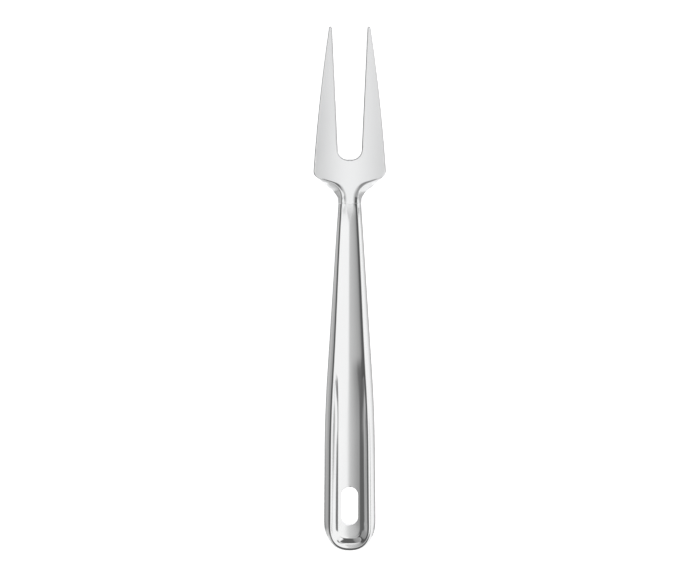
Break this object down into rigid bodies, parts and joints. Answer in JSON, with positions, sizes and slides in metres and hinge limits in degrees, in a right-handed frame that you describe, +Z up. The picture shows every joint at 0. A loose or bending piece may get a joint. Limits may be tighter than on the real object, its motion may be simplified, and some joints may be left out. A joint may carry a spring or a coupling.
{
  "type": "meat fork",
  "caption": "Stainless steel meat fork with long tapered tines, an arched pressed handle with a rolled rim and a slotted hang hole.",
  "frame": {"origin": "on the surface the fork lies on, under the middle of its bounding box", "axes": "+Y from the handle end to the tine tips, +Z up out of the channel face, +X to the right seen from above with the tines up"},
  "size_m": [0.0414, 0.2996, 0.022],
  "materials": {
    "satin_steel": "satin",
    "polished_steel": "polished",
    "plain_steel": "satin"
  },
  "bodies": {
    "root": {"fork_head": "satin_steel", "handle_front_shell": "polished_steel", "handle_back_plate": "plain_steel"}
  },
  "joints": []
}
